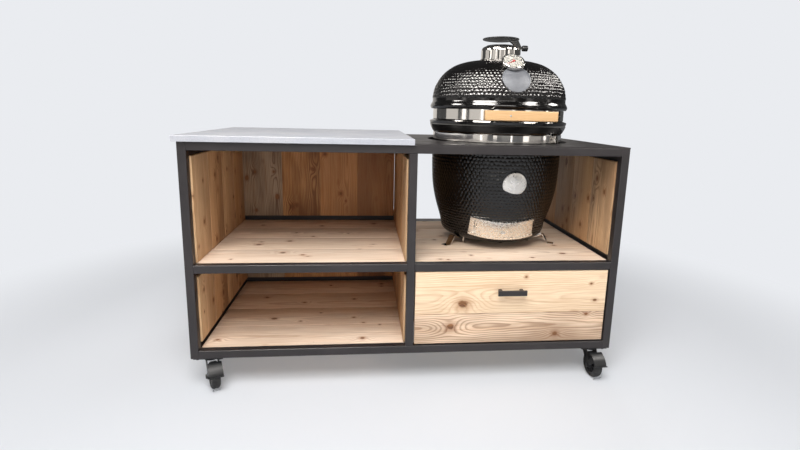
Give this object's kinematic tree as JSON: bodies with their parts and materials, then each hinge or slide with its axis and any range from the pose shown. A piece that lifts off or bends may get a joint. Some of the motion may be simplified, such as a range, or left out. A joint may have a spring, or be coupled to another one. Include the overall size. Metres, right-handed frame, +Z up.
{
  "type": "kamado grill table",
  "caption": "Rolling steel-framed grill table with timber shelves, a drawer, a pale worktop and a round black ceramic kamado grill standing through the top.",
  "frame": {"origin": "on the floor under the middle of the whole object's outline", "axes": "+Z up, +X to the right along the table's length, -Y towards the person at the front"},
  "size_m": [1.6132, 0.8093, 1.34],
  "materials": {
    "frame_steel": "matt powder coat on welded steel tube",
    "slab": "fine concrete look, honed",
    "boards": "sawn and brushed scaffold boards, clear oil",
    "plywood": "sanded plywood",
    "runner_zinc": "zinc plated rolled sheet",
    "castor_black": "black pressed steel",
    "castor_wheel": "dark rubber tread on a black hub",
    "pedal_plastic": "moulded dark grey plastic",
    "glazed_shell": "dimpled gloss black glaze",
    "fire_clay": "unglazed cordierite",
    "grate_iron": "seasoned cast iron",
    "grate_steel": "welded stainless rod",
    "felt": "dense dark felt",
    "polished_steel": "polished stainless sheet",
    "spring_steel": "oiled spring wire",
    "bamboo": "laminated bamboo, clear lacquer",
    "needle_red": "red enamel",
    "vent_black": "black enamelled cast iron",
    "knob_black": "moulded black heat-proof plastic"
  },
  "bodies": {
    "table": {"frame_posts": "frame_steel", "frame_top_rails": "frame_steel", "frame_mid_rails": "frame_steel", "frame_bottom_rails": "frame_steel", "board_bars": "frame_steel", "worktop_slab": "slab", "grill_top_plate": "frame_steel", "left_wall_boards": "boards", "right_wall_boards": "boards", "back_boards": "boards", "divider_boards": "boards", "left_shelf_boards": "boards", "grill_shelf_boards": "boards", "bottom_boards": "boards", "castor_plates": "castor_black", "runner_outer": "runner_zinc", "runner_bars": "frame_steel", "base_shell": "glazed_shell", "fire_box": "fire_clay", "fire_ring": "fire_clay", "charcoal_grate": "grate_iron", "cooking_grate": "grate_steel", "cooking_grate_rim": "grate_steel", "base_gasket": "felt", "base_band": "polished_steel", "hinge_bracket": "polished_steel", "hinge_springs": "spring_steel", "grill_feet": "polished_steel", "draft_door_frame": "polished_steel", "base_disc": "polished_steel"},
    "runner_middle": {"runner_middle": "runner_zinc"},
    "drawer": {"runner_inner": "runner_zinc", "drawer_front": "boards", "drawer_box": "plywood", "drawer_pull": "frame_steel"},
    "lid": {"dome_shell": "glazed_shell", "dome_gasket": "felt", "dome_band": "polished_steel", "hinge_arms": "polished_steel", "lid_handle": "bamboo", "handle_brackets": "polished_steel", "thermometer_case": "polished_steel", "badge_plate": "polished_steel", "chimney_collar": "polished_steel"},
    "needle": {"thermometer_needle": "needle_red"},
    "damper": {"damper_disc": "vent_black"},
    "rain_cap": {"vent_cap": "vent_black", "vent_arm": "polished_steel", "vent_knob": "knob_black"},
    "draft_door": {"draft_door": "polished_steel"},
    "fork_front_left": {"castor_fork_front_left": "castor_black"},
    "wheel_front_left": {"castor_wheel_front_left": "castor_wheel"},
    "pedal_front_left": {"brake_pedal_front_left": "pedal_plastic"},
    "fork_front_right": {"castor_fork_front_right": "castor_black"},
    "wheel_front_right": {"castor_wheel_front_right": "castor_wheel"},
    "pedal_front_right": {"brake_pedal_front_right": "pedal_plastic"},
    "fork_rear_left": {"castor_fork_rear_left": "castor_black"},
    "wheel_rear_left": {"castor_wheel_rear_left": "castor_wheel"},
    "fork_rear_right": {"castor_fork_rear_right": "castor_black"},
    "wheel_rear_right": {"castor_wheel_rear_right": "castor_wheel"}
  },
  "joints": [
    {"name": "drawer_slide", "type": "slide", "parent": "table", "child": "drawer", "axis": [0, -1, 0], "range_m": [0, 0.45]},
    {"name": "runner_slide", "type": "slide", "parent": "table", "child": "runner_middle", "axis": [0, -1, 0], "range_m": [0, 0.225]},
    {"name": "lid_hinge", "type": "hinge", "parent": "table", "child": "lid", "pos_m": [0.40495, 0.352, 0.993], "axis": [-1, 0, 0], "range_deg": [0, 75], "deforming": ["hinge_springs"]},
    {"name": "thermometer_needle_turn", "type": "hinge", "parent": "lid", "child": "needle", "pos_m": [0.39695, -0.187, 1.225], "axis": [0, 0.6691, -0.7431], "range_deg": [0, 240]},
    {"name": "damper_turn", "type": "hinge", "parent": "lid", "child": "damper", "pos_m": [0.40495, 0.03, 1.309], "axis": [0, 0, 1], "range_deg": [0, 60]},
    {"name": "rain_cap_hinge", "type": "hinge", "parent": "lid", "child": "rain_cap", "pos_m": [0.48895, 0.03, 1.305], "axis": [0, 1, 0], "range_deg": [0, 60]},
    {"name": "draft_door_slide", "type": "hinge", "parent": "table", "child": "draft_door", "pos_m": [0.40495, 0.03, 0.65176], "axis": [0, -0.342, 0.9397], "range_deg": [0, 24]},
    {"name": "swivel_front_left", "type": "hinge", "parent": "table", "child": "fork_front_left", "pos_m": [-0.73535, -0.303, 0.11], "axis": [0, 0, 1], "continuous": true},
    {"name": "roll_front_left", "type": "hinge", "parent": "fork_front_left", "child": "wheel_front_left", "pos_m": [-0.71869, -0.33715, 0.05], "axis": [0.8988, 0.4384, 0], "continuous": true},
    {"name": "brake_front_left", "type": "hinge", "parent": "fork_front_left", "child": "pedal_front_left", "pos_m": [-0.71869, -0.33715, 0.05], "axis": [0.8988, 0.4384, 0], "range_deg": [0, 14]},
    {"name": "swivel_front_right", "type": "hinge", "parent": "table", "child": "fork_front_right", "pos_m": [0.74865, -0.303, 0.11], "axis": [0, 0, 1], "continuous": true},
    {"name": "roll_front_right", "type": "hinge", "parent": "fork_front_right", "child": "wheel_front_right", "pos_m": [0.75196, -0.34086, 0.05], "axis": [0.9962, 0.0872, 0], "continuous": true},
    {"name": "brake_front_right", "type": "hinge", "parent": "fork_front_right", "child": "pedal_front_right", "pos_m": [0.75196, -0.34086, 0.05], "axis": [0.9962, 0.0872, 0], "range_deg": [0, 14]},
    {"name": "swivel_rear_left", "type": "hinge", "parent": "table", "child": "fork_rear_left", "pos_m": [-0.73535, 0.343, 0.11], "axis": [0, 0, 1], "continuous": true},
    {"name": "roll_rear_left", "type": "hinge", "parent": "fork_rear_left", "child": "wheel_rear_left", "pos_m": [-0.72235, 0.30729, 0.05], "axis": [0.9397, 0.342, 0], "continuous": true},
    {"name": "swivel_rear_right", "type": "hinge", "parent": "table", "child": "fork_rear_right", "pos_m": [0.74865, 0.343, 0.11], "axis": [0, 0, 1], "continuous": true},
    {"name": "roll_rear_right", "type": "hinge", "parent": "fork_rear_right", "child": "wheel_rear_right", "pos_m": [0.75525, 0.30558, 0.05], "axis": [0.9848, 0.1736, 0], "continuous": true}
  ],
  "couplings": [
    {"joint": "runner_slide", "follows": "drawer_slide", "ratio": 0.5}
  ]
}
